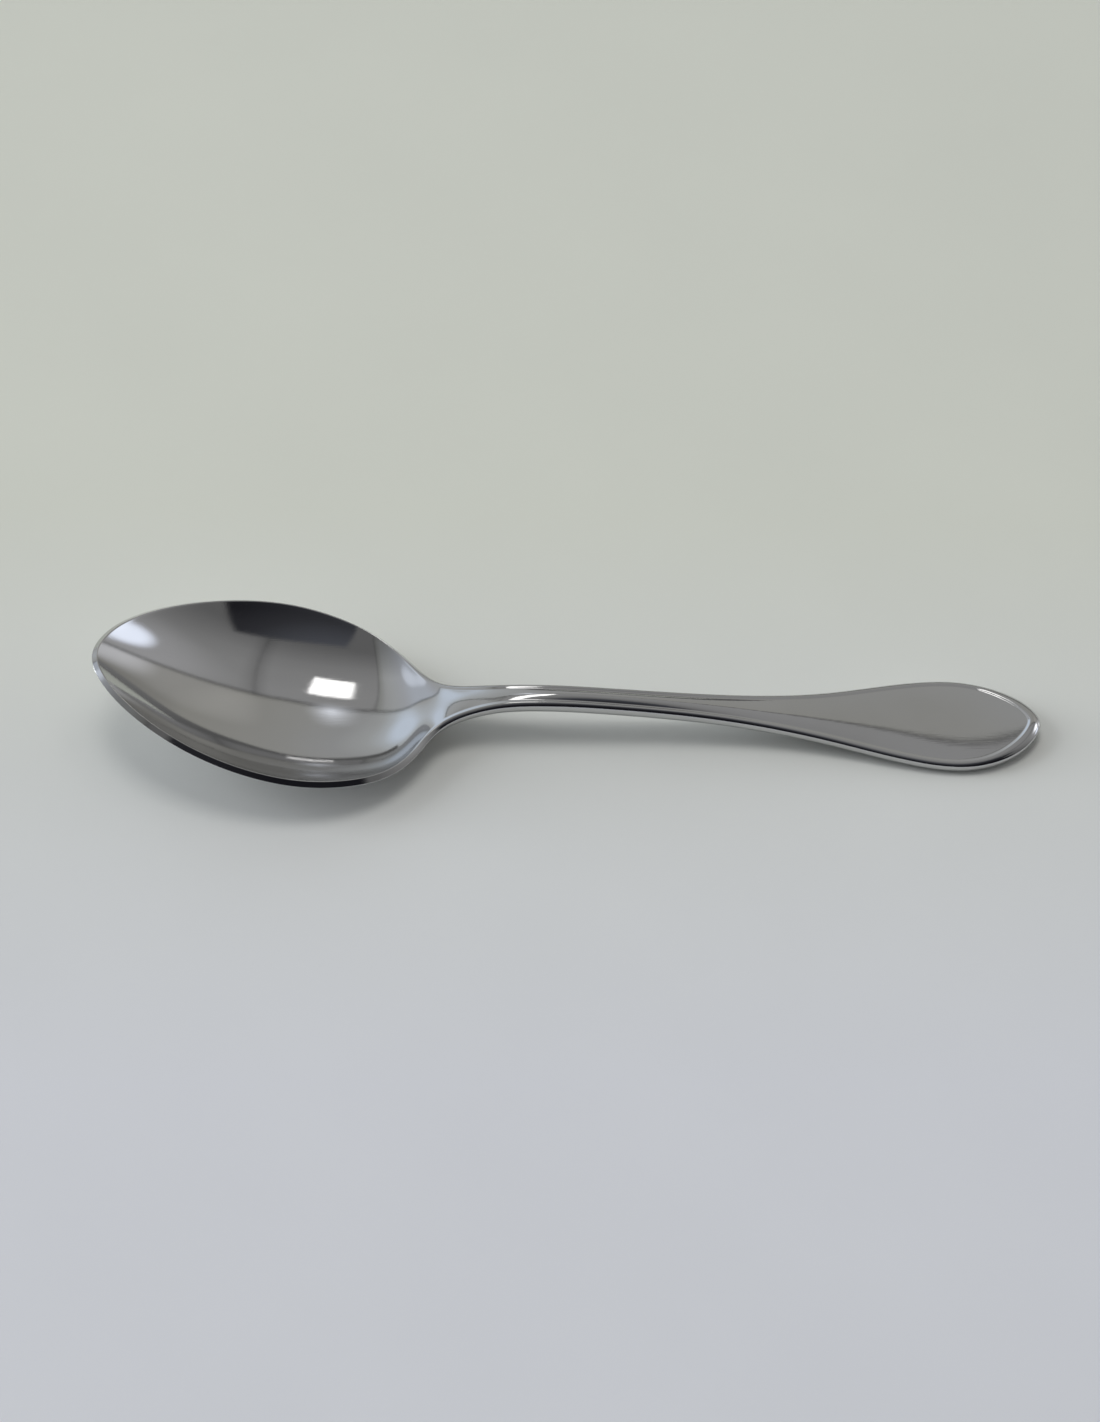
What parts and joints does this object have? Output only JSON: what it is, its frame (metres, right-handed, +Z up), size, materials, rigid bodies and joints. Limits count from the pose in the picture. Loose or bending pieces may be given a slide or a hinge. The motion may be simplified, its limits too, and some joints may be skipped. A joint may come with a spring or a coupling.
{
  "type": "teaspoon",
  "caption": "Polished stainless-steel teaspoon with an egg-shaped bowl, a slim neck and a flared handle with a raised border round a domed panel.",
  "frame": {"origin": "on the table under the middle of the spoon's length and width, at the height of the lowest points of its bowl and handle", "axes": "+X along the spoon from the bowl's tip to the end of the handle, +Z up out of the bowl, +Y across the spoon"},
  "size_m": [0.14, 0.0326, 0.016],
  "materials": {
    "steel": "mirror-polished stainless steel"
  },
  "bodies": {
    "root": {"spoon": "steel"}
  },
  "joints": []
}
